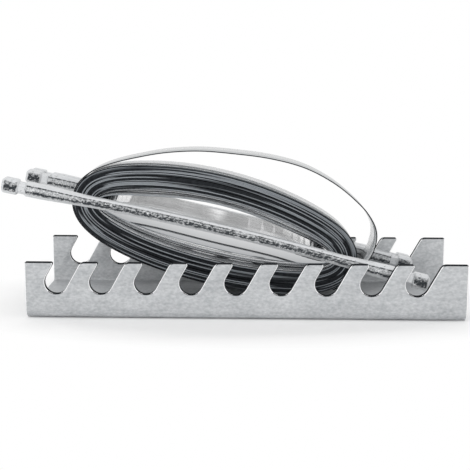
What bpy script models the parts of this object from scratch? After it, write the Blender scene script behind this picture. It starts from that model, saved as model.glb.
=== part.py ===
"""Metal hive strap kit: a notched rail, a coil of steel strapping and three necked bars.

X runs along the rail, Y from its front wall to its back wall, and Z up from the floor.
The origin is the middle of the rail's underside. Lengths are in metres.
"""
import math

import bmesh
import bpy
from mathutils import Matrix, Vector

MM = 0.001

# Rail: a channel of folded sheet, open upwards
RAIL_LENGTH = 196.0 * MM
RAIL_WIDTH = 70.6 * MM
RAIL_HEIGHT = 25.6 * MM
SHEET = 3.05 * MM
BEND_RADIUS = 4.6 * MM
BEND_STEPS = 6

# Slots: slanted hooks cut through both walls
SLOT_COUNT = 9
SLOT_PITCH = 20.0 * MM
FIRST_SLOT = 13.8 * MM
SLOT_WIDTH = 10.4 * MM
SLOT_DEPTH = 14.2 * MM
SLOT_SLOPE = math.radians(61.0)
NOSE_RADIUS = 0.8 * MM
MOUTH_RADIUS = 3.0 * MM
CUTTER_REACH = 2.0 * MM

# Strap: one band of 25 mm by 0.5 mm steel strapping, wound as a flat oval
STRAP_WIDTH = 25.0 * MM
STRAP_THICKNESS = 0.5 * MM
TURN_PITCH = 0.6 * MM
TIP_PITCH = 0.55 * MM
LOOSE_TURNS = 2.25
LOOSE_STEP = 2.8 * MM
PACK_TURNS = 19.25
OVAL_HALF_LENGTH = 58.0 * MM
OVAL_HALF_HEIGHT = 14.15 * MM
STEPS_PER_TURN = 48
INNER_LIFT = 13.0 * MM
COIL_SLOPE = math.radians(13.9)
COIL_YAW = math.radians(1.0)
COIL_LEAN = math.radians(1.0)
COIL_MIDDLE_X = -14.8 * MM
COIL_TO_BAR = 0.5 * MM
COIL_TO_FLOOR = 0.5 * MM

# The outermost turn springs off the pack: angle round the oval in degrees, gap from the pack in mm
SPRUNG_GAPS = (
    (180, 0.0), (165, 0.5), (150, 1.5), (135, 3.35), (120, 6.3), (105, 9.15), (90, 11.35),
    (75, 13.8), (60, 15.4), (45, 15.1), (30, 13.9), (20, 13.2), (12, 11.75), (6, 8.0),
    (0, 3.4), (-8, 1.1), (-20, 0.5),
)
SPRUNG_STEPS = 4

# Bars: rough castings, bowed in the middle and necked behind a head at both ends
BAR_LENGTH = 196.5 * MM
BAR_HEIGHT = 4.8 * MM
BAR_DEPTH = 5.0 * MM
BAR_SWELL_HEIGHT = 6.5 * MM
BAR_SWELL_DEPTH = 6.0 * MM
BAR_SWELL_LENGTH = 8.0 * MM
BAR_SWELL_END = 40.0 * MM
HEAD_LENGTH = 7.6 * MM
HEAD_HEIGHT = 7.0 * MM
HEAD_ROUNDING = 1.1 * MM
NECK_LENGTH = 3.0 * MM
NECK_HEIGHT = 5.4 * MM
NECK_DEPTH = 4.2 * MM
NECK_RAMP = 0.5 * MM
UPPER_CHAMFER = 1.0 * MM
LOWER_CHAMFER = 1.5 * MM
BAR_BOW = 1.3 * MM
BOW_STEPS = 8
BAR_SLOPE = math.radians(12.95)
BAR_GAP = 0.3 * MM

# Each bar's low end: how far past the last slot, and how far below the top of the walls
FRONT_BAR_REACH = 6.5 * MM
FRONT_BAR_DROP = 8.6 * MM
MIDDLE_BAR_REACH = 6.1 * MM
MIDDLE_BAR_DROP = 12.0 * MM
REAR_BAR_REACH = 6.3 * MM
REAR_BAR_DROP = 12.6 * MM


def clear_scene():
    for thing in list(bpy.data.objects):
        bpy.data.objects.remove(thing, do_unlink=True)


def make_material(name, color, roughness, metallic):
    material = bpy.data.materials.new(name)
    material.use_nodes = True
    shader = material.node_tree.nodes["Principled BSDF"]
    shader.inputs["Base Color"].default_value = (*color, 1.0)
    shader.inputs["Roughness"].default_value = roughness
    shader.inputs["Metallic"].default_value = metallic
    material.diffuse_color = (*color, 1.0)
    return material


def make_object(name, shape, material, parent):
    mesh = bpy.data.meshes.new(name)
    bmesh.ops.recalc_face_normals(shape, faces=shape.faces)
    shape.to_mesh(mesh)
    shape.free()
    mesh.materials.append(material)
    thing = bpy.data.objects.new(name, mesh)
    thing.parent = parent
    bpy.context.scene.collection.objects.link(thing)
    return thing


def arc(center, radius, start, end, steps):
    """Points of an arc, with both of its ends."""
    points = []
    for i in range(steps + 1):
        angle = start + (end - start) * i / steps
        points.append(center + radius * Vector((math.cos(angle), math.sin(angle))))
    return points


def extrude_outline(shape, outline, across):
    """Adds a prism: a closed outline of 3-D points, extruded by a vector."""
    face = shape.faces.new([shape.verts.new(point) for point in outline])
    extruded = bmesh.ops.extrude_face_region(shape, geom=[face])["geom"]
    moved = [part for part in extruded if isinstance(part, bmesh.types.BMVert)]
    bmesh.ops.translate(shape, verts=moved, vec=across)


# Rail

def rail_section():
    """The channel's section in the YZ plane, as one closed outline."""
    half = RAIL_WIDTH / 2
    left = math.pi
    down = 1.5 * math.pi
    right = 2.0 * math.pi
    outer = [Vector((-half, RAIL_HEIGHT))]
    outer += arc(Vector((-half + BEND_RADIUS, BEND_RADIUS)), BEND_RADIUS, left, down, BEND_STEPS)
    outer += arc(Vector((half - BEND_RADIUS, BEND_RADIUS)), BEND_RADIUS, down, right, BEND_STEPS)
    outer += [Vector((half, RAIL_HEIGHT))]
    inside = BEND_RADIUS - SHEET
    inner = [Vector((-half + SHEET, RAIL_HEIGHT))]
    inner += arc(Vector((-half + BEND_RADIUS, BEND_RADIUS)), inside, left, down, BEND_STEPS)
    inner += arc(Vector((half - BEND_RADIUS, BEND_RADIUS)), inside, down, right, BEND_STEPS)
    inner += [Vector((half - SHEET, RAIL_HEIGHT))]
    return outer + inner[::-1]


def slot_place(i):
    return -RAIL_LENGTH / 2 + FIRST_SLOT + i * SLOT_PITCH


def slot_outline():
    """A slanted hook slot in the XZ plane, from the middle of its round end below the wall's top."""
    radius = SLOT_WIDTH / 2
    depth = SLOT_DEPTH - radius
    side = Vector((math.sin(SLOT_SLOPE), -math.cos(SLOT_SLOPE)))

    def meets_top(offset):
        """Where a side line of the slot would meet the wall's top edge."""
        return Vector(((offset + depth * side.y * -1) / side.x, depth))

    left_corner = meets_top(-radius)
    right_corner = meets_top(radius)
    nose_reach = NOSE_RADIUS / math.tan(SLOT_SLOPE / 2)
    nose_center = left_corner + Vector((-nose_reach, -NOSE_RADIUS))
    mouth_reach = MOUTH_RADIUS / math.tan((math.pi - SLOT_SLOPE) / 2)
    mouth_center = right_corner + Vector((mouth_reach, -MOUTH_RADIUS))

    upright = math.pi / 2
    nose = arc(nose_center, NOSE_RADIUS, upright, SLOT_SLOPE - upright, 4)
    bottom = arc(Vector((0, 0)), radius, SLOT_SLOPE + upright, SLOT_SLOPE + 3 * upright, 14)
    mouth = arc(mouth_center, MOUTH_RADIUS, SLOT_SLOPE + upright, upright, 5)
    lift = Vector((0, CUTTER_REACH))
    return [nose[0] + lift] + nose + bottom + mouth + [mouth[-1] + lift]


def build_slot_cutter(material, parent, collection):
    shape = bmesh.new()
    outline = slot_outline()
    front = -RAIL_WIDTH / 2 - CUTTER_REACH
    across = Vector((0, RAIL_WIDTH + 2 * CUTTER_REACH, 0))
    height = RAIL_HEIGHT - SLOT_DEPTH + SLOT_WIDTH / 2
    for i in range(SLOT_COUNT):
        x = slot_place(i)
        extrude_outline(shape, [Vector((x + p.x, front, height + p.y)) for p in outline], across)
    cutter = make_object("slot_cutter", shape, material, parent)
    bpy.context.scene.collection.objects.unlink(cutter)
    collection.objects.link(cutter)
    cutter.hide_render = True
    cutter.display_type = "WIRE"
    return cutter


def build_rail(material, parent, cutters):
    shape = bmesh.new()
    left = -RAIL_LENGTH / 2
    outline = [Vector((left, p.x, p.y)) for p in rail_section()]
    extrude_outline(shape, outline, Vector((RAIL_LENGTH, 0, 0)))
    rail = make_object("notched_rail", shape, material, parent)
    cut = rail.modifiers.new("slots", "BOOLEAN")
    cut.operation = "DIFFERENCE"
    cut.solver = "EXACT"
    cut.object = build_slot_cutter(material, parent, cutters)
    return rail


# Strap coil

def crowd(angle):
    """Turns an even step round the oval into an angle, so that points crowd at its tight ends."""
    stretch = math.sqrt(OVAL_HALF_LENGTH / OVAL_HALF_HEIGHT)
    return math.atan2(math.sin(angle), math.cos(angle) * stretch)


def oval_point(angle, inside, outside, gap=0.0):
    """A point so many turns inside or outside the pack's first turn, moved outwards by a gap."""
    half_length = OVAL_HALF_LENGTH - inside * TIP_PITCH
    half_height = OVAL_HALF_HEIGHT - inside * LOOSE_STEP
    across, up = math.cos(angle), math.sin(angle)
    pitch = TIP_PITCH + (TURN_PITCH - TIP_PITCH) * up ** 2
    normal = Vector((half_height * across, half_length * up)).normalized()
    return Vector((half_length * across, half_height * up)) + (outside * pitch + gap) * normal


def spline(points, steps):
    """A smooth curve through points (Catmull-Rom), with so many steps between two of them."""
    ends = [2 * points[0] - points[1]] + points + [2 * points[-1] - points[-2]]
    curve = []
    for a, b, c, d in zip(ends, ends[1:], ends[2:], ends[3:]):
        for i in range(steps):
            t = i / steps
            curve.append(0.5 * (2 * b + (c - a) * t + (2 * a - 5 * b + 4 * c - d) * t ** 2
                                + (3 * b - a - 3 * c + d) * t ** 3))
    return curve + [points[-1]]


def strap_route():
    """The near edge's path, and the far edge's lift, from the strap's inner end to its outer end.

    The first half turn lies under the others and is twisted: its far edge stands up in the bore.
    """
    route = []
    for step in range(round((LOOSE_TURNS + PACK_TURNS) * STEPS_PER_TURN)):
        turn = step / STEPS_PER_TURN
        angle = crowd(-2 * math.pi * turn)
        inside = max(LOOSE_TURNS - turn, 0)
        outside = max(turn - LOOSE_TURNS, 0)
        lift = INNER_LIFT * (1 - math.cos(angle) ** 4) if turn < 0.5 else 0.0
        route.append((oval_point(angle, inside, outside), lift))
    for angle, gap in spline([Vector(pair) for pair in SPRUNG_GAPS], SPRUNG_STEPS):
        route.append((oval_point(math.radians(angle), 0, PACK_TURNS, gap * MM), 0.0))
    return route


def build_coil(material, parent, back):
    """The coil, standing on the rail's floor and against what is behind it."""
    shape = bmesh.new()
    near = []
    far = []
    for point, lift in strap_route():
        depth = math.sqrt(STRAP_WIDTH ** 2 - lift ** 2)
        near.append(shape.verts.new((point.x, 0, point.y)))
        far.append(shape.verts.new((point.x, depth, point.y + lift)))
    for i in range(len(near) - 1):
        shape.faces.new((near[i], near[i + 1], far[i + 1], far[i]))
    coil = make_object("strap_coil", shape, material, parent)
    band = coil.modifiers.new("strap", "SOLIDIFY")
    band.thickness = STRAP_THICKNESS
    band.offset = 0.0
    band.use_even_offset = True

    turned = (Matrix.Rotation(COIL_YAW, 3, "Z") @ Matrix.Rotation(-COIL_LEAN, 3, "X")
              @ Matrix.Rotation(COIL_SLOPE, 3, "Y"))
    coil.rotation_euler = turned.to_euler()
    lowest = min((turned @ vert.co).z for vert in coil.data.vertices) - STRAP_THICKNESS / 2
    hindmost = max((turned @ vert.co).y for vert in coil.data.vertices)
    coil.location = (COIL_MIDDLE_X, back - COIL_TO_BAR - hindmost, SHEET + COIL_TO_FLOOR - lowest)
    return coil


# Bars

def bar_stations():
    """Distance from the bar's end, height and depth, from the end to where the swell has faded."""
    head = HEAD_LENGTH
    shoulder = HEAD_LENGTH + NECK_LENGTH
    rounding = 2 * HEAD_ROUNDING
    return (
        (0, HEAD_HEIGHT - rounding, BAR_SWELL_DEPTH - rounding),
        (HEAD_ROUNDING, HEAD_HEIGHT, BAR_SWELL_DEPTH),
        (head - NECK_RAMP, HEAD_HEIGHT, BAR_SWELL_DEPTH),
        (head, NECK_HEIGHT, NECK_DEPTH),
        (shoulder, NECK_HEIGHT, NECK_DEPTH),
        (shoulder + NECK_RAMP, BAR_SWELL_HEIGHT, BAR_SWELL_DEPTH),
        (shoulder + BAR_SWELL_LENGTH, BAR_SWELL_HEIGHT, BAR_SWELL_DEPTH),
        (BAR_SWELL_END, BAR_HEIGHT, BAR_DEPTH),
    )


def bar_ring(shape, x, height, depth):
    """Eight vertices round a section with larger chamfers below, raised by the bar's bow."""
    bow_end = BAR_LENGTH / 2 - BAR_SWELL_END
    rise = BAR_BOW * max(0.0, 1 - (x / bow_end) ** 2)
    y, z = depth / 2, height / 2
    size = min(1.0, height / BAR_SWELL_HEIGHT)
    upper, lower = UPPER_CHAMFER * size, LOWER_CHAMFER * size
    corners = ((y - upper, z), (y, z - upper), (y, lower - z), (y - lower, -z),
               (lower - y, -z), (-y, lower - z), (-y, z - upper), (upper - y, z))
    return [shape.verts.new((x, a, b + rise)) for a, b in corners]


def build_bar(name, reach, y, drop, material, parent):
    """A bar whose low end lies so far past the last slot and below the top of the walls."""
    shape = bmesh.new()
    half = BAR_LENGTH / 2
    bow_end = half - BAR_SWELL_END
    stations = [(-half + s, h, d) for s, h, d in bar_stations()]
    bowed = [(bow_end * (2 * i / BOW_STEPS - 1), BAR_HEIGHT, BAR_DEPTH) for i in range(1, BOW_STEPS)]
    stations += bowed + [(-x, h, d) for x, h, d in reversed(stations)]
    rings = [bar_ring(shape, *station) for station in stations]
    for ring, following in zip(rings, rings[1:]):
        for i in range(8):
            shape.faces.new((ring[i], ring[i - 1], following[i - 1], following[i]))
    shape.faces.new(rings[0])
    shape.faces.new(rings[-1])
    bar = make_object(name, shape, material, parent)
    low_end = Vector((slot_place(SLOT_COUNT - 1) + reach, y, RAIL_HEIGHT - drop))
    bar.location = low_end - half * Vector((math.cos(BAR_SLOPE), 0, -math.sin(BAR_SLOPE)))
    bar.rotation_euler = (0, BAR_SLOPE, 0)
    return bar


def build():
    clear_scene()
    cutters = bpy.data.collections.new("cutters")
    bpy.context.scene.collection.children.link(cutters)
    kit = bpy.data.objects.new("hive_strap_kit", None)
    bpy.context.scene.collection.objects.link(kit)

    sheet = make_material("galvanised_sheet", (0.52, 0.54, 0.56), 0.38, 0.9)
    strapping = make_material("bright_strapping", (0.62, 0.63, 0.63), 0.3, 0.95)
    zinc = make_material("rough_zinc", (0.58, 0.59, 0.60), 0.5, 0.85)

    wall = RAIL_WIDTH / 2
    half_bar = BAR_SWELL_DEPTH / 2
    front = -wall + SHEET + BAR_GAP + half_bar
    middle = wall - SHEET - BAR_GAP - half_bar
    rear = wall + BAR_GAP + half_bar
    build_rail(sheet, kit, cutters)
    build_bar("bar_front", FRONT_BAR_REACH, front, FRONT_BAR_DROP, zinc, kit)
    build_bar("bar_middle", MIDDLE_BAR_REACH, middle, MIDDLE_BAR_DROP, zinc, kit)
    build_bar("bar_rear", REAR_BAR_REACH, rear, REAR_BAR_DROP, zinc, kit)
    build_coil(strapping, kit, middle - half_bar)


build()
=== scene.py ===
"""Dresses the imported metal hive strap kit: notched rail, sprung coil of strapping and zinc bars."""
import math

import bmesh
import bpy
from mathutils import Matrix, Vector, noise as field


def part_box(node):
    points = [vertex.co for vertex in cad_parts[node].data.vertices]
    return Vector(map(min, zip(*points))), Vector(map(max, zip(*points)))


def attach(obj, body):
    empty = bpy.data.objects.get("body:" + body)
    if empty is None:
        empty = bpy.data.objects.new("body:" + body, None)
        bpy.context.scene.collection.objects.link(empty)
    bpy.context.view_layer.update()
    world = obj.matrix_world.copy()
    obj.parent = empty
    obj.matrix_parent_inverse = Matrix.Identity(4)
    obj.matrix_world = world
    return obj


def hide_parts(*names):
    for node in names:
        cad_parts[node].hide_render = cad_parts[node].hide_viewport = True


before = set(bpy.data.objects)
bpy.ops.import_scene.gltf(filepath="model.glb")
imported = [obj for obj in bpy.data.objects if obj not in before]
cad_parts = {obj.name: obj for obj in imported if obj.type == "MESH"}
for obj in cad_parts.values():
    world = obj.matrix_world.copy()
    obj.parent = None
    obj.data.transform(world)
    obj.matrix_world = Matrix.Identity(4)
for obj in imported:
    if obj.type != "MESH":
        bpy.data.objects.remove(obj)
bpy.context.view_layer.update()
MM = 0.001

# Camera, fitted to the photograph: its lens, its place in the row's frame and its turns
IMAGE_WIDTH_PX = 470
FOCAL_PX = 1115.8
SENSOR_WIDTH = 36.0
CLIP_START = 10 * MM
CAMERA_PLACE = Vector((7.5, -517.2, 123.6)) * MM
CAMERA_YAW = math.radians(-1.451)
CAMERA_PITCH = math.radians(10.005)
CAMERA_ROLL = math.radians(0.154)

# Rail
SHEET = 3.05 * MM
RAIL_EDGE_ROUND = 0.32 * MM
RAIL_EDGE_ANGLE = math.radians(50)
RAIL_SHARP_ANGLE = math.radians(35)
MERGE_DISTANCE = 0.002 * MM
FLAT_ANGLE = math.radians(0.5)

# The rail's materials, by their places in its list
SHEET_SIDE = 0
CUT_EDGE = 1
ROUNDED_EDGE = 2

# What tells the rail's cut edges from its sheet: how far a face's normal leans along the axes, and
# that slots lie above the floor
TOP_LEAN_UP = 0.5
SLOT_LEAN_ACROSS = 0.05
SLOT_LEAN_ALONG = 0.02
SLOT_BOTTOM = SHEET + 2 * MM
END_LEAN_ALONG = 0.98

# A rounded edge gets painted shade, as dark as the cut beside it, where it leans up so far, and no
# farther along the rail or backwards than this
DARK_LEAN_UP = 0.3
DARK_LEAN_ALONG = 0.35
DARK_LEAN_BACK = 0.2

# Strap: nearly the CAD coil's route, with finer steps, uneven winding and a higher twisted end
STRAP_WIDTH = 25.0 * MM
STRAP_THICKNESS = 0.5 * MM
TURN_PITCH = 0.6 * MM
TIP_PITCH = 0.55 * MM
LOOSE_TURNS = 2.25
LOOSE_STEP = 2.8 * MM
PACK_TURNS = 19.25
OVAL_HALF_LENGTH = 58.0 * MM
OVAL_HALF_HEIGHT = 14.15 * MM
STEPS_PER_TURN = 96
TWISTED_TURNS = 0.5
INNER_LIFT = 15.5 * MM
COIL_SLOPE = math.radians(13.9)
COIL_YAW = math.radians(1.0)
COIL_LEAN = math.radians(1.0)
COIL_MIDDLE_X = -14.8 * MM

# The sprung turn: its gap from the pack (mm) at angles round the oval (degrees)
SPRUNG_GAPS = (
    (180, 0.0), (165, 0.5), (150, 1.5), (135, 3.35), (120, 6.3), (105, 9.15), (90, 11.35),
    (75, 13.8), (60, 15.4), (45, 15.1), (30, 13.9), (20, 13.2), (12, 11.75), (6, 8.0),
    (0, 3.4), (-8, 1.1), (-20, 0.5),
)
SPRUNG_STEPS = 10

# The near edges stand back by up to this much, as two waves over the turns make them
EDGE_WANDER = 0.3 * MM
FAST_WAVE = 2.39
SLOW_WAVE = 0.83
SLOW_WAVE_START = 1.0

# Uneven winding: most turns nearly touch, and after these turns of the pack a gap (mm) opens, at a
# rate that takes a fifth of a turn
TIGHT_PITCH = 0.503 * MM
PACK_GAPS = (
    (1.4, 0.06), (2.6, 0.1), (4.4, 0.08), (6.2, 0.36), (7.4, 0.06), (8.3, 0.08), (9.5, 0.06),
    (10.7, 0.42), (12.1, 0.06), (13.2, 0.42), (14.6, 0.06), (16.2, 0.1),
)
GAP_OPENING_RATE = 5

# The top side stands a little higher than an even oval: by so much in the pack's first and last
# turn, and more for every loose turn inside it, round this angle
CREST_ANGLE = math.radians(91)
CREST_REACH = math.radians(50)
CREST_INNER = 0.9 * MM
CREST_OUTER = 0.85 * MM
CREST_LOOSE = 0.9 * MM

# Turns between which the strap's faces lie on each other, painted black as shade in the gaps
FACES_BURIED_FROM = 3.3
FACES_BURIED_TO = 20.4

# The strap's materials: the outward sides' places in its list, and how many places on from them
# the rim's and the inward side's are
OUTWARD_SIDE = 0
BURIED_SIDE = 2
TO_RIM = 1
TO_INWARD_SIDE = 4

# Turns over which the strap's look changes
TWIST_ENDING = (0.4, 0.6)
FIRST_TURN_ENDING = (0.98, 1.08)
LOOSE_LOOK_ENDING = (4.0, 5.0)
SPRUNG_LOOK_STARTING = (20.2, 20.9)

# The edges' tone follows a noise along the strap, darkest and lightest at the ends of a narrow span
EDGE_TONES_PER_TURN = 2.37
EDGE_TONE_SPAN = (0.515, 0.56)
EDGE_TONE_TOP = 0.9
EDGE_MOTTLE = 0.12
SPRUNG_EDGE_TONE = 0.1

# Bars: the CAD section with finer steps, a little shorter, with ends that droop
BAR_HEIGHT = 4.8 * MM
BAR_DEPTH = 5.0 * MM
BAR_SWELL_HEIGHT = 6.5 * MM
BAR_SWELL_DEPTH = 6.0 * MM
BAR_SWELL_LENGTH = 8.0 * MM
BAR_SWELL_END = 40.0 * MM
BAR_LENGTH = 195.9 * MM
FRONT_BAR_LENGTH = 194.6 * MM
FRONT_BAR_SHIFT = 0.4 * MM
HEAD_LENGTH = 7.6 * MM
HEAD_HEIGHT = 7.0 * MM
HEAD_ROUNDING = 1.1 * MM
NECK_LENGTH = 3.0 * MM
NECK_HEIGHT = 5.4 * MM
NECK_DEPTH = 4.2 * MM
NECK_RAMP = 0.5 * MM
UPPER_CHAMFER = 1.0 * MM
LOWER_CHAMFER = 1.5 * MM
BAR_BOW = 1.3 * MM
END_DROOP = 1.1 * MM
BAR_SLOPE = math.radians(12.95)
BAR_SHARP_ANGLE = math.radians(38)

# Steps along a bar, and along the eight sides of its section, of which two are the broad faces
BAR_STEP = 0.45 * MM
SIDE_STEPS = (3, 12, 3, 3, 3, 12, 3, 4)
BACK_FACE = 1
FRONT_FACE = 5

# Dark stains along a broad face: how dark, where between its lower and upper edge, and how wide.
# The broad one fades in as the bar grows slender, and a head has its own.
LOW_STAIN = (1.0, 0.18, 0.3)
HIGH_STAIN = (0.9, 0.9, 0.16)
BROAD_STAIN = (0.75, 0.42, 0.6)
HEAD_STAIN = (1.0, 0.42, 0.7)

# Dashes and patches of noise add to a stain, and the sum turns the zinc dark over this span
STAIN_DASHES = 2.6
STAIN_PATCHES = 0.5
STAIN_SPAN = (1.8, 2.35)

# The coat's lumps and pits: how many a metre and how deep, and how far stains deepen the pits
LUMPS_PER_METRE = 330
LUMP_DEPTH = 0.1 * MM
PITS_PER_METRE = 1500
PIT_DEPTH = 0.2 * MM
STAIN_PITTING = 0.3

# Colours: where two are blended, the one at the low end comes first
SHEET_COLORS = (0.30, 0.315, 0.33), (0.66, 0.67, 0.68)
# Cut edges: bare steel with painted shade, near black
CUT_EDGE_AND_SHADE_COLORS = (0.010, 0.011, 0.013), (0.045, 0.048, 0.052)
# Painted highlight on the rail's rounded edges
PAINTED_EDGE_HIGHLIGHT = (0.95, 0.955, 0.96)
OUTER_FACE_COLORS = (0.53, 0.54, 0.545), (0.61, 0.62, 0.625)
# Painted light: the loose turns' outward face is lighter than the pack's, on the same strip
PAINTED_LIGHT_LOOSE_FACE = (0.68, 0.69, 0.70)
# Painted shade at the twisted half turn's near edge, painted light at its far edge and on the first turn
TWISTED_FACE_PAINTED_LIGHT_COLORS = (0.45, 0.46, 0.47), (0.985, 0.987, 0.99)
FIRST_TURN_PAINTED_LIGHT = (0.98, 0.983, 0.986)
INNER_FACE = (0.74, 0.75, 0.76)
# Painted shade: black on the faces inside the pack, for the gaps between turns
GAP_SHADE_BLACK = (0.004, 0.004, 0.005)
STRAP_EDGE_COLORS = (0.008, 0.0095, 0.012), (0.34, 0.365, 0.39)
SMOOTH_ZINC_COLORS = (0.58, 0.595, 0.61), (0.72, 0.73, 0.74)
ROUGH_ZINC_COLORS = (0.28, 0.29, 0.30), (0.74, 0.75, 0.76)
STAIN = (0.025, 0.03, 0.035)
PAPER = (0.97, 0.97, 0.97)
WHITE = (1.0, 1.0, 1.0)

# Where most of a noise's values lie
NOISE_SPAN = (0.3, 0.7)

# Studio: the paper turns plain white between two distances from the middle, in an oval
FLOOR_HALF = 6.0
FLOOR_FADE_START = 0.105
FLOOR_FADE_END = 0.15
FLOOR_FADE_SHAPE = (1.0, 1.8, 1.0)

# The world's strength for all but the camera and reflections, which see it white
WORLD_LIGHT = 0.55

# Lamps: name, place, target, width and height, and power
LAMPS = (
    ("key", (-0.5, -0.5, 0.9), (0, 0, 0.03), (0.8, 0.8), 3.6),
    ("fill", (0.8, -0.4, 0.5), (0, 0, 0.03), (0.6, 0.6), 1.0),
    ("back", (0.0, 0.8, 0.8), (0, 0, 0.03), (1.0, 0.5), 3.0),
    ("front", (0.0, -1.4, 0.24), (0, 0, 0.04), (1.0, 0.4), 6.0),
)


# Node helpers: the owner of the nodes is a material or the world

def new_material(name, metallic=0.0, roughness=0.5):
    material = bpy.data.materials.new(name)
    material.use_nodes = True
    shader = material.node_tree.nodes["Principled BSDF"]
    shader.inputs["Metallic"].default_value = metallic
    shader.inputs["Roughness"].default_value = roughness
    return material, shader


def node(owner, kind, **properties):
    made = owner.node_tree.nodes.new(kind)
    for name, value in properties.items():
        setattr(made, name, value)
    return made


def link(owner, output, target):
    owner.node_tree.links.new(output, target)


def noise(owner, scale, detail=3.0, roughness=0.5, stretch=(1.0, 1.0, 1.0)):
    """Noise in object coordinates: scale counts features a metre."""
    place = node(owner, "ShaderNodeTexCoord")
    mapping = node(owner, "ShaderNodeMapping")
    mapping.inputs["Scale"].default_value = stretch
    made = node(owner, "ShaderNodeTexNoise")
    made.inputs["Scale"].default_value = scale
    made.inputs["Detail"].default_value = detail
    made.inputs["Roughness"].default_value = roughness
    link(owner, place.outputs["Object"], mapping.inputs["Vector"])
    link(owner, mapping.outputs["Vector"], made.inputs["Vector"])
    return made.outputs["Fac"]


def remap(owner, value, low, high, to_low=0.0, to_high=1.0):
    """Turns low into to_low and high into to_high, with what lies between in proportion."""
    made = node(owner, "ShaderNodeMapRange")
    made.inputs["From Min"].default_value = low
    made.inputs["From Max"].default_value = high
    made.inputs["To Min"].default_value = to_low
    made.inputs["To Max"].default_value = to_high
    link(owner, value, made.inputs["Value"])
    return made.outputs["Result"]


def math_node(owner, operation, a, b):
    made = node(owner, "ShaderNodeMath", operation=operation)
    for socket, value in zip(made.inputs, (a, b)):
        if isinstance(value, (int, float)):
            socket.default_value = value
        else:
            link(owner, value, socket)
    return made.outputs["Value"]


def add(owner, a, b):
    return math_node(owner, "ADD", a, b)


def multiply(owner, a, b):
    return math_node(owner, "MULTIPLY", a, b)


def blend_colors(owner, factor, a, b):
    made = node(owner, "ShaderNodeMix", data_type="RGBA")
    color_inputs = [socket for socket in made.inputs if socket.type == "RGBA"]
    for socket, value in zip(color_inputs, (a, b)):
        if isinstance(value, tuple):
            socket.default_value = (*value, 1.0)
        else:
            link(owner, value, socket)
    link(owner, factor, made.inputs["Factor"])
    return next(socket for socket in made.outputs if socket.type == "RGBA")


def attribute(owner, name):
    """A value that the mesh carries at its vertices."""
    return node(owner, "ShaderNodeAttribute", attribute_name=name).outputs["Fac"]


def bump(owner, shader, height, strength, distance):
    made = node(owner, "ShaderNodeBump")
    made.inputs["Strength"].default_value = strength
    made.inputs["Distance"].default_value = distance
    link(owner, height, made.inputs["Height"])
    link(owner, made.outputs["Normal"], shader.inputs["Normal"])


# Materials

def sheet_material():
    """Dull zinc over folded sheet: fine grain, small clouds and faint rolling marks."""
    material, shader = new_material("galvanised_sheet_look", metallic=0.35)
    clouds = noise(material, 160.0, detail=5.0, roughness=0.7, stretch=(0.6, 1.0, 1.0))
    grain = noise(material, 1000.0, detail=3.0, roughness=0.6, stretch=(0.6, 1.0, 1.0))
    marks = noise(material, 700.0, detail=2.0, stretch=(0.06, 1.0, 1.0))
    cloud_tone = remap(material, clouds, *NOISE_SPAN, 0.0, 0.25)
    grain_tone = multiply(material, remap(material, grain, *NOISE_SPAN), 0.5)
    tone = add(material, add(material, cloud_tone, grain_tone), multiply(material, marks, 0.25))
    link(material, blend_colors(material, tone, *SHEET_COLORS), shader.inputs["Base Color"])
    link(material, remap(material, grain, *NOISE_SPAN, 0.50, 0.62), shader.inputs["Roughness"])
    bump(material, shader, add(material, grain, marks), strength=0.12, distance=0.2 * MM)
    return material


def cut_edge_and_shade_material():
    """The sheared edge of the sheet: bare steel, finely mottled, and painted near black as shade."""
    material, shader = new_material("cut_edge_and_shade_look", roughness=0.7)
    mottle = noise(material, 1500.0, detail=2.0)
    link(material, blend_colors(material, mottle, *CUT_EDGE_AND_SHADE_COLORS), shader.inputs["Base Color"])
    shader.inputs["IOR"].default_value = 1.0
    bump(material, shader, mottle, strength=0.2, distance=0.2 * MM)
    return material


def painted_edge_highlight_material():
    """The rounds of the sheared edges, painted near white as a highlight."""
    material, shader = new_material("painted_edge_highlight_look", metallic=0.5, roughness=0.35)
    shader.inputs["Base Color"].default_value = (*PAINTED_EDGE_HIGHLIGHT, 1.0)
    return material


def rolling_streaks(material):
    """Faint streaks along the strip, as its rolling leaves them."""
    return noise(material, 1100.0, detail=3.0, stretch=(0.05, 1.0, 0.05))


def outward_face_material():
    """The strip's outward face: smoother and painted lighter on the loose turns, duller on the pack and the
    sprung turn.
    """
    material, shader = new_material("strap_outward_look", metallic=0.95)
    streaks = rolling_streaks(material)
    turn = attribute(material, "turn")
    outer = blend_colors(material, remap(material, streaks, *NOISE_SPAN), *OUTER_FACE_COLORS)
    color = blend_colors(material, remap(material, turn, *LOOSE_LOOK_ENDING), PAINTED_LIGHT_LOOSE_FACE, outer)
    link(material, color, shader.inputs["Base Color"])
    turn_roughness = remap(material, turn, *LOOSE_LOOK_ENDING, 0.16, 0.22)
    streak_roughness = remap(material, streaks, *NOISE_SPAN, 0.0, 0.08)
    link(material, add(material, turn_roughness, streak_roughness), shader.inputs["Roughness"])
    bump(material, shader, streaks, strength=0.08, distance=0.1 * MM)
    return material


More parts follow.
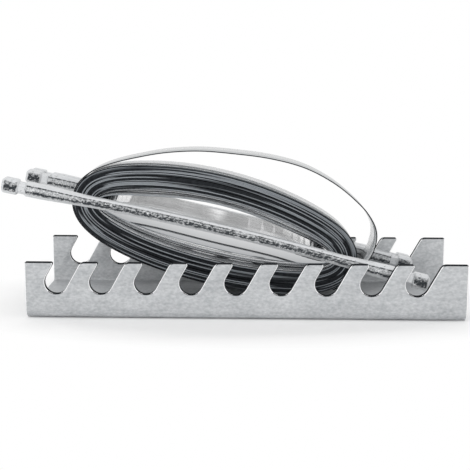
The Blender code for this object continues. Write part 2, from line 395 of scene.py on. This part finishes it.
def inward_face_material():
    """The strip's inward face: painted near white on its first turn, as light inside the coil; the twisted
    half turn goes from painted shade at its near edge to that painted light at its far edge; duller farther
    out."""
    material, shader = new_material("strap_inward_look", metallic=1.0)
    streaks = rolling_streaks(material)
    turn = attribute(material, "turn")
    twisted = blend_colors(material, attribute(material, "across"), *TWISTED_FACE_PAINTED_LIGHT_COLORS)
    color = blend_colors(material, remap(material, turn, *TWIST_ENDING), twisted, FIRST_TURN_PAINTED_LIGHT)
    color = blend_colors(material, remap(material, turn, *FIRST_TURN_ENDING), color, INNER_FACE)
    link(material, color, shader.inputs["Base Color"])
    turn_roughness = remap(material, turn, *FIRST_TURN_ENDING, 0.05, 0.2)
    streak_roughness = remap(material, streaks, *NOISE_SPAN, 0.0, 0.05)
    link(material, add(material, turn_roughness, streak_roughness), shader.inputs["Roughness"])
    return material


def painted_gap_shade_material():
    """Faces that lie on each other inside the pack: painted black, as shade in the gaps."""
    material, shader = new_material("painted_gap_shade_look", roughness=1.0)
    shader.inputs["Base Color"].default_value = (*GAP_SHADE_BLACK, 1.0)
    shader.inputs["IOR"].default_value = 1.0
    return material


def strap_edge_material():
    """The slit edges of the strip: blue-black, lighter or darker from turn to turn, and dark on the
    sprung turn."""
    material, shader = new_material("strap_edge_look", metallic=0.5, roughness=0.45)
    turn = attribute(material, "turn")
    tones = node(material, "ShaderNodeTexNoise", noise_dimensions="1D")
    tones.inputs["Scale"].default_value = 1.0
    tones.inputs["Detail"].default_value = 1.0
    link(material, multiply(material, turn, EDGE_TONES_PER_TURN), tones.inputs["W"])
    turn_tone = remap(material, tones.outputs["Fac"], *EDGE_TONE_SPAN, 0.0, EDGE_TONE_TOP)
    mottle = multiply(material, noise(material, 900.0, detail=2.0), EDGE_MOTTLE)
    darkening = remap(material, turn, *SPRUNG_LOOK_STARTING, 1.0, SPRUNG_EDGE_TONE)
    tone = multiply(material, add(material, turn_tone, mottle), darkening)
    link(material, blend_colors(material, tone, *STRAP_EDGE_COLORS), shader.inputs["Base Color"])
    shader.inputs["Specular IOR Level"].default_value = 0.1
    return material


def zinc_material():
    """Hot-dip zinc: smooth on tops and chamfers, rough and stained dark on the broad faces."""
    material, shader = new_material("rough_zinc_look", metallic=0.4)
    grain = noise(material, 1900.0, detail=3.0, roughness=0.6)
    dashes = noise(material, 1300.0, detail=3.0, roughness=0.65, stretch=(0.6, 1.0, 1.0))
    patches = noise(material, 120.0, detail=2.0)
    rough = attribute(material, "rough")
    smooth_zinc = blend_colors(material, patches, *SMOOTH_ZINC_COLORS)
    rough_zinc = blend_colors(material, remap(material, grain, 0.35, 0.65), *ROUGH_ZINC_COLORS)
    color = blend_colors(material, rough, smooth_zinc, rough_zinc)
    stain = add(material, attribute(material, "stain"), multiply(material, dashes, STAIN_DASHES))
    stain = add(material, stain, multiply(material, patches, STAIN_PATCHES))
    color = blend_colors(material, remap(material, stain, *STAIN_SPAN), color, STAIN)
    link(material, color, shader.inputs["Base Color"])
    link(material, remap(material, rough, 0.0, 1.0, 0.38, 0.55), shader.inputs["Roughness"])
    bump(material, shader, multiply(material, grain, rough), strength=0.3, distance=0.3 * MM)
    return material


# Pieces

def finished_mesh(shape, name, materials):
    mesh = bpy.data.meshes.new(name)
    shape.to_mesh(mesh)
    shape.free()
    for material in materials:
        mesh.materials.append(material)
    return mesh


def add_piece(name, mesh, node_name):
    piece = bpy.data.objects.new(name, mesh)
    bpy.context.scene.collection.objects.link(piece)
    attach(piece, "root")
    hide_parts(node_name)
    return piece


def merged_copy(node_name):
    """The CAD node's mesh with its split vertices joined and its flat faces made whole."""
    shape = bmesh.new()
    shape.from_mesh(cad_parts[node_name].data)
    bmesh.ops.remove_doubles(shape, verts=shape.verts, dist=MERGE_DISTANCE)
    bmesh.ops.dissolve_limit(shape, angle_limit=FLAT_ANGLE, verts=shape.verts, edges=shape.edges)
    return shape


def rail_surface(face, high):
    """Whether a face of the rail is sheet or a cut edge, given the high corner of the rail's box."""
    middle = face.calc_center_median()
    along, across = abs(face.normal.x), abs(face.normal.y)
    on_top = face.normal.z > TOP_LEAN_UP and middle.z > high.z - MM
    in_slot = across < SLOT_LEAN_ACROSS and (along > SLOT_LEAN_ALONG or middle.z > SLOT_BOTTOM)
    at_end = along > END_LEAN_ALONG and abs(middle.x) > high.x - MM
    return CUT_EDGE if (on_top or in_slot) and not at_end else SHEET_SIDE


def gets_painted_shade(normal):
    """Whether a rounded edge gets painted shade, as dark as the cut beside it."""
    return normal.z > DARK_LEAN_UP and abs(normal.x) < DARK_LEAN_ALONG and normal.y < DARK_LEAN_BACK


def build_rail():
    """The rail with its sheared edges rounded: bare steel and painted shade on top and in the slots, a
    painted highlight round the faces.
    """
    shape = merged_copy("notched_rail")
    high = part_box("notched_rail")[1]
    for face in shape.faces:
        face.material_index = rail_surface(face, high)
    corners = [edge for edge in shape.edges
               if edge.is_manifold and edge.calc_face_angle() > RAIL_EDGE_ANGLE]
    # The rounds take the painted highlight material
    bmesh.ops.bevel(shape, geom=corners, offset=RAIL_EDGE_ROUND, segments=2, affect="EDGES",
                    profile=0.5, material=ROUNDED_EDGE)
    # Rounds that lean up take the cut edge's painted shade instead
    for face in shape.faces:
        if face.material_index == ROUNDED_EDGE and gets_painted_shade(face.normal):
            face.material_index = CUT_EDGE
    materials = (sheet_material(), cut_edge_and_shade_material(), painted_edge_highlight_material())
    mesh = finished_mesh(shape, "rail_look", materials)
    add_piece("rail_look", mesh, "notched_rail")
    mesh.shade_smooth()
    mesh.set_sharp_from_angle(angle=RAIL_SHARP_ANGLE)


def crowd(angle):
    """Turns an even step round the oval into an angle, so that points crowd at its tight ends."""
    stretch = math.sqrt(OVAL_HALF_LENGTH / OVAL_HALF_HEIGHT)
    return math.atan2(math.sin(angle), math.cos(angle) * stretch)


def wound(outside, up):
    """How far out a turn of the pack lies: tight turns, and the gaps between them, less at the tips."""
    looseness = (TIP_PITCH - TIGHT_PITCH) / (TURN_PITCH - TIGHT_PITCH)
    looseness += (1 - looseness) * up ** 2
    gaps = sum(gap * MM * min(1.0, max(0.0, (outside - turn) * GAP_OPENING_RATE))
               for turn, gap in PACK_GAPS)
    return min(outside, PACK_TURNS) * TIGHT_PITCH + gaps * looseness


def oval_point(angle, inside, outside, gap=0.0):
    """A point so many turns inside or outside the pack's first turn, moved outwards by a gap."""
    half_length = OVAL_HALF_LENGTH - inside * TIP_PITCH
    half_height = OVAL_HALF_HEIGHT - inside * LOOSE_STEP
    across, up = math.cos(angle), math.sin(angle)
    normal = Vector((half_height * across, half_length * up)).normalized()
    lift = 0.0
    if gap == 0.0 and abs(angle - CREST_ANGLE) < CREST_REACH:
        share = min(outside, PACK_TURNS) / PACK_TURNS
        lift = CREST_INNER + (CREST_OUTER - CREST_INNER) * share + CREST_LOOSE * inside
        lift *= math.cos((angle - CREST_ANGLE) / CREST_REACH * math.pi / 2) ** 2
    return Vector((half_length * across, half_height * up)) + (wound(outside, up) + lift + gap) * normal


def spline(points, steps):
    """A smooth curve through points (Catmull-Rom), with so many steps between two of them."""
    ends = [2 * points[0] - points[1]] + points + [2 * points[-1] - points[-2]]
    curve = []
    for a, b, c, d in zip(ends, ends[1:], ends[2:], ends[3:]):
        for i in range(steps):
            t = i / steps
            curve.append(0.5 * (2 * b + (c - a) * t + (2 * a - 5 * b + 4 * c - d) * t ** 2
                                + (3 * b - a - 3 * c + d) * t ** 3))
    return curve + [points[-1]]


def strap_route():
    """The near edge's path, the far edge's lift and the turn, from the inner end to the outer end."""
    route = []
    for step in range(round((LOOSE_TURNS + PACK_TURNS) * STEPS_PER_TURN)):
        turn = step / STEPS_PER_TURN
        angle = crowd(-2 * math.pi * turn)
        inside = max(LOOSE_TURNS - turn, 0)
        outside = max(turn - LOOSE_TURNS, 0)
        lift = INNER_LIFT * (1 - math.cos(angle) ** 4) if turn < TWISTED_TURNS else 0.0
        route.append((oval_point(angle, inside, outside), lift, turn))
    pack_end = LOOSE_TURNS + PACK_TURNS
    sprung_start = SPRUNG_GAPS[0][0]
    for angle, gap in spline([Vector(pair) for pair in SPRUNG_GAPS], SPRUNG_STEPS):
        point = oval_point(math.radians(angle), 0, PACK_TURNS, gap * MM)
        route.append((point, 0.0, pack_end + (sprung_start - angle) / 360))
    return route


def edge_shift(turn):
    """How far the near edge stands back at a turn."""
    wave = math.sin(FAST_WAVE * turn) * math.sin(SLOW_WAVE * turn + SLOW_WAVE_START)
    return EDGE_WANDER * (0.5 + 0.5 * wave)


def strap_shape():
    """The strap wound on a level oval, as one row of faces from the inner end to the outer end."""
    shape = bmesh.new()
    turn_layer = shape.verts.layers.float.new("turn")
    across_layer = shape.verts.layers.float.new("across")
    near = []
    far = []
    sides = []
    width = STRAP_WIDTH - EDGE_WANDER
    for point, lift, turn in strap_route():
        shift = edge_shift(turn)
        depth = math.sqrt(width ** 2 - lift ** 2)
        near.append(shape.verts.new((point.x, shift, point.y)))
        far.append(shape.verts.new((point.x, shift + depth, point.y + lift)))
        near[-1][turn_layer] = far[-1][turn_layer] = turn
        far[-1][across_layer] = 1.0
        sides.append(BURIED_SIDE if FACES_BURIED_FROM < turn < FACES_BURIED_TO else OUTWARD_SIDE)
    for i in range(len(near) - 1):
        face = shape.faces.new((near[i], near[i + 1], far[i + 1], far[i]))
        face.smooth = True
        face.material_index = sides[i]
    bmesh.ops.recalc_face_normals(shape, faces=shape.faces)
    return shape


def build_coil():
    """The strap turned as it lies, with its top and back where the CAD coil's are, and thickened."""
    shape = strap_shape()
    turned = (Matrix.Rotation(COIL_YAW, 3, "Z") @ Matrix.Rotation(-COIL_LEAN, 3, "X")
              @ Matrix.Rotation(COIL_SLOPE, 3, "Y"))
    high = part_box("strap_coil")[1]
    highest = max((turned @ vert.co).z for vert in shape.verts) + STRAP_THICKNESS / 2
    hindmost = max((turned @ vert.co).y for vert in shape.verts)
    place = Vector((COIL_MIDDLE_X, high.y - hindmost, high.z - highest))
    bmesh.ops.transform(shape, matrix=Matrix.Translation(place) @ turned.to_4x4(), verts=shape.verts)
    edge = strap_edge_material()
    inward, outward, gap_shade = inward_face_material(), outward_face_material(), painted_gap_shade_material()
    materials = (outward, edge, gap_shade, edge, inward, edge, gap_shade)
    mesh = finished_mesh(shape, "strap_look", materials)
    strap = add_piece("strap_look", mesh, "strap_coil")
    band = strap.modifiers.new("band", "SOLIDIFY")
    band.thickness = STRAP_THICKNESS
    band.offset = 0.0
    band.use_even_offset = True
    band.material_offset = TO_INWARD_SIDE
    band.material_offset_rim = TO_RIM


def bar_size(reach):
    """The bar's height and depth at a distance from its nearer end."""
    shoulder = HEAD_LENGTH + NECK_LENGTH
    rounding = 2 * HEAD_ROUNDING
    stations = (
        (0, HEAD_HEIGHT - rounding, BAR_SWELL_DEPTH - rounding),
        (HEAD_ROUNDING, HEAD_HEIGHT, BAR_SWELL_DEPTH),
        (HEAD_LENGTH - NECK_RAMP, HEAD_HEIGHT, BAR_SWELL_DEPTH),
        (HEAD_LENGTH, NECK_HEIGHT, NECK_DEPTH),
        (shoulder, NECK_HEIGHT, NECK_DEPTH),
        (shoulder + NECK_RAMP, BAR_SWELL_HEIGHT, BAR_SWELL_DEPTH),
        (shoulder + BAR_SWELL_LENGTH, BAR_SWELL_HEIGHT, BAR_SWELL_DEPTH),
        (BAR_SWELL_END, BAR_HEIGHT, BAR_DEPTH),
    )
    for (a, height, depth), (b, next_height, next_depth) in zip(stations, stations[1:]):
        if reach <= b:
            share = (reach - a) / (b - a)
            return height + (next_height - height) * share, depth + (next_depth - depth) * share
    return BAR_HEIGHT, BAR_DEPTH


def stained(height, on_head, slender):
    """How dark a broad face is at a height between its lower edge, 0, and its upper edge, 1."""
    bands = [HEAD_STAIN]
    if not on_head:
        darkness, middle, reach = BROAD_STAIN
        bands = [LOW_STAIN, HIGH_STAIN, (darkness * slender, middle, reach)]
    return max(max(0.0, darkness * (1 - abs(height - middle) / reach)) for darkness, middle, reach in bands)


def bar_rise(x, length):
    """How far the bar stands above its straight line: bowed up in the middle, drooping at the ends."""
    bowed = length / 2 - BAR_SWELL_END
    if abs(x) < bowed:
        return BAR_BOW * (1 - (x / bowed) ** 2)
    return -END_DROOP * (abs(x) - bowed) / BAR_SWELL_END


def bar_ring(x, length):
    """Points round the section at x: place, outward direction, roughness and stain."""
    reach = length / 2 - abs(x)
    height, depth = bar_size(reach)
    rise = bar_rise(x, length)
    y, z = depth / 2, height / 2
    size = min(1.0, height / BAR_SWELL_HEIGHT)
    upper, lower = UPPER_CHAMFER * size, LOWER_CHAMFER * size
    corners = [Vector(corner) for corner in (
        (y - upper, z), (y, z - upper), (y, lower - z), (y - lower, -z),
        (lower - y, -z), (-y, lower - z), (-y, z - upper), (upper - y, z))]
    slender = (BAR_SWELL_HEIGHT - height) / (BAR_SWELL_HEIGHT - BAR_HEIGHT)
    on_head = reach < HEAD_LENGTH - NECK_RAMP
    on_neck = not on_head and reach < HEAD_LENGTH + NECK_LENGTH + NECK_RAMP
    ring = []
    for side, steps in enumerate(SIDE_STEPS):
        start, end = corners[side], corners[(side + 1) % len(corners)]
        broad = side in (FRONT_FACE, BACK_FACE) and HEAD_ROUNDING < reach and not on_neck
        for i in range(steps):
            across = start.lerp(end, i / steps)
            up = i / steps if side == FRONT_FACE else 1 - i / steps
            stain = stained(up, on_head, slender) if broad else 0.0
            spot = Vector((x, across.x, across.y + rise))
            ring.append((spot, Vector((0, *across)).normalized(), 1.0 if broad else 0.0, stain))
    return ring


def coated(spot, outward, rough, stain, middle):
    """The spot sunk by the coat's lumps and, on a rough face, its pits."""
    place = spot + middle
    lump = 0.5 + 0.5 * field.noise(place * LUMPS_PER_METRE)
    pit = max(0.0, field.noise(place * PITS_PER_METRE) + STAIN_PITTING * stain) * rough
    return spot - outward * (lump * LUMP_DEPTH + pit * PIT_DEPTH)


def build_bar(node_name, material, length=BAR_LENGTH, shift=0.0):
    """A bar with its chamfers crisp, its coat lumpy and its broad faces pitted."""
    low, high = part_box(node_name)
    middle = (low + high) / 2
    shape = bmesh.new()
    rough_layer = shape.verts.layers.float.new("rough")
    stain_layer = shape.verts.layers.float.new("stain")
    steps = round(length / BAR_STEP)
    rings = []
    for step in range(steps + 1):
        ring = []
        for spot, outward, rough, stain in bar_ring((step / steps - 0.5) * length, length):
            vert = shape.verts.new(coated(spot, outward, rough, stain, middle))
            vert[rough_layer] = rough
            vert[stain_layer] = stain
            ring.append(vert)
        rings.append(ring)
    for ring, following in zip(rings, rings[1:]):
        for i in range(len(ring)):
            shape.faces.new((ring[i], ring[i - 1], following[i - 1], following[i])).smooth = True
    shape.faces.new(rings[0])
    shape.faces.new(rings[-1])
    bmesh.ops.recalc_face_normals(shape, faces=shape.faces)
    placed = Matrix.Translation(middle + Vector((shift, 0, 0))) @ Matrix.Rotation(BAR_SLOPE, 4, "Y")
    bmesh.ops.transform(shape, matrix=placed, verts=shape.verts)
    mesh = finished_mesh(shape, node_name + "_look", (material,))
    add_piece(node_name + "_look", mesh, node_name)
    mesh.set_sharp_from_angle(angle=BAR_SHARP_ANGLE)


# Studio

def build_floor():
    material, shader = new_material("floor_paper", roughness=1.0)
    shader.inputs["Base Color"].default_value = (*PAPER, 1.0)
    shader.inputs["Specular IOR Level"].default_value = 0.0
    place = node(material, "ShaderNodeTexCoord")
    oval = node(material, "ShaderNodeMapping")
    oval.inputs["Scale"].default_value = FLOOR_FADE_SHAPE
    distance = node(material, "ShaderNodeVectorMath", operation="LENGTH")
    link(material, place.outputs["Object"], oval.inputs["Vector"])
    link(material, oval.outputs["Vector"], distance.inputs[0])
    far = remap(material, distance.outputs["Value"], FLOOR_FADE_START, FLOOR_FADE_END)
    path = node(material, "ShaderNodeLightPath")
    factor = multiply(material, far, path.outputs["Is Camera Ray"])
    white = node(material, "ShaderNodeEmission")
    mixed = node(material, "ShaderNodeMixShader")
    link(material, factor, mixed.inputs["Fac"])
    link(material, shader.outputs["BSDF"], mixed.inputs[1])
    link(material, white.outputs["Emission"], mixed.inputs[2])
    link(material, mixed.outputs["Shader"], material.node_tree.nodes["Material Output"].inputs["Surface"])
    shape = bmesh.new()
    bmesh.ops.create_grid(shape, x_segments=1, y_segments=1, size=FLOOR_HALF)
    floor = bpy.data.objects.new("floor", finished_mesh(shape, "floor", (material,)))
    bpy.context.scene.collection.objects.link(floor)


def build_world():
    """Even grey light from all round, white where the camera or a reflection looks at it."""
    world = bpy.data.worlds.new("studio")
    world.use_nodes = True
    bpy.context.scene.world = world
    background = world.node_tree.nodes["Background"]
    background.inputs["Color"].default_value = (*WHITE, 1.0)
    path = node(world, "ShaderNodeLightPath")
    seen = math_node(world, "MAXIMUM", path.outputs["Is Camera Ray"], path.outputs["Is Glossy Ray"])
    link(world, remap(world, seen, 0.0, 1.0, WORLD_LIGHT, 1.0), background.inputs["Strength"])


def add_lamp(name, place, target, size, power):
    data = bpy.data.lights.new(name, "AREA")
    data.shape = "RECTANGLE"
    data.size, data.size_y = size
    data.energy = power
    lamp = bpy.data.objects.new(name, data)
    lamp.location = place
    lamp.rotation_euler = (Vector(target) - Vector(place)).to_track_quat("-Z", "Y").to_euler()
    lamp.visible_glossy = False
    bpy.context.scene.collection.objects.link(lamp)


def build_camera():
    """The camera that took the photograph, turned by its yaw, pitch and roll."""
    forward = Vector((math.sin(CAMERA_YAW) * math.cos(CAMERA_PITCH),
                      math.cos(CAMERA_YAW) * math.cos(CAMERA_PITCH), -math.sin(CAMERA_PITCH)))
    level = Vector((math.cos(CAMERA_YAW), -math.sin(CAMERA_YAW), 0))
    upright = level.cross(forward)
    right = math.cos(CAMERA_ROLL) * level + math.sin(CAMERA_ROLL) * upright
    up = math.cos(CAMERA_ROLL) * upright - math.sin(CAMERA_ROLL) * level
    data = bpy.data.cameras.new("camera")
    data.sensor_width = SENSOR_WIDTH
    data.lens = FOCAL_PX * SENSOR_WIDTH / IMAGE_WIDTH_PX
    data.clip_start = CLIP_START
    camera = bpy.data.objects.new("camera", data)
    turn = Matrix((right, up, -forward)).transposed()
    camera.matrix_world = Matrix.Translation(CAMERA_PLACE) @ turn.to_4x4()
    bpy.context.scene.collection.objects.link(camera)
    bpy.context.scene.camera = camera


build_rail()
build_coil()
zinc = zinc_material()
build_bar("bar_front", zinc, FRONT_BAR_LENGTH, FRONT_BAR_SHIFT)
build_bar("bar_middle", zinc)
build_bar("bar_rear", zinc)
build_floor()
build_world()
for lamp_values in LAMPS:
    add_lamp(*lamp_values)
build_camera()
bpy.context.scene.view_settings.view_transform = "Standard"
bpy.context.view_layer.update()
